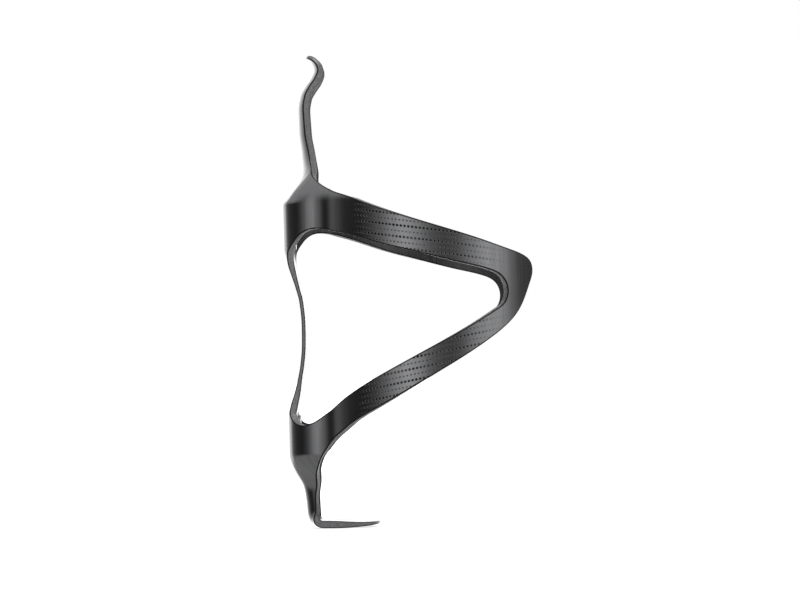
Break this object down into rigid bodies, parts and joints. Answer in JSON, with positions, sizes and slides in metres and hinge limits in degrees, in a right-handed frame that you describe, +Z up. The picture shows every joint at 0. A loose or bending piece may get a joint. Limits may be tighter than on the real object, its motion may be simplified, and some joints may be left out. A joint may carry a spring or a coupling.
{
  "type": "water bottle cage",
  "caption": "Moulded carbon bottle cage for a bicycle: flat mounting pads, a hooked tongue, a foot and two springy triangular wings that grip the bottle.",
  "frame": {"origin": "on the back face of the lower mounting pad, on the middle line just under its bolt slot", "axes": "X = 0 is the plane that bolts to the bicycle; +X to the open front; +Z up along the bottle; alike either side of Y = 0, +Y is the rider's left wing when +X faces forward"},
  "size_m": [0.0752, 0.0778, 0.145],
  "materials": {
    "spine": "satin",
    "foot": "satin",
    "lower_bolt_seat": "brushed",
    "upper_bolt_seat": "brushed",
    "left_wing": "satin",
    "right_wing": "satin",
    "tongue": "satin"
  },
  "bodies": {
    "frame": {"spine": "spine", "foot": "foot", "lower_bolt_seat": "lower_bolt_seat", "upper_bolt_seat": "upper_bolt_seat"},
    "left_wing": {"left_wing": "left_wing"},
    "right_wing": {"right_wing": "right_wing"},
    "tongue": {"tongue": "tongue"}
  },
  "joints": [
    {"name": "left_wing_flex", "type": "hinge", "parent": "frame", "child": "left_wing", "pos_m": [0.01961, 0.02669, 0.0431], "axis": [0, 0, 1], "range_deg": [-1.5, 5], "stiffness_Nm_per_rad": 4},
    {"name": "right_wing_flex", "type": "hinge", "parent": "frame", "child": "right_wing", "pos_m": [0.01961, -0.02669, 0.0431], "axis": [0, 0, -1], "range_deg": [-1.5, 5], "stiffness_Nm_per_rad": 4},
    {"name": "tongue_flex", "type": "hinge", "parent": "frame", "child": "tongue", "pos_m": [0.00693, 0, 0.087], "axis": [0, -1, 0], "range_deg": [-1, 5], "stiffness_Nm_per_rad": 5}
  ]
}
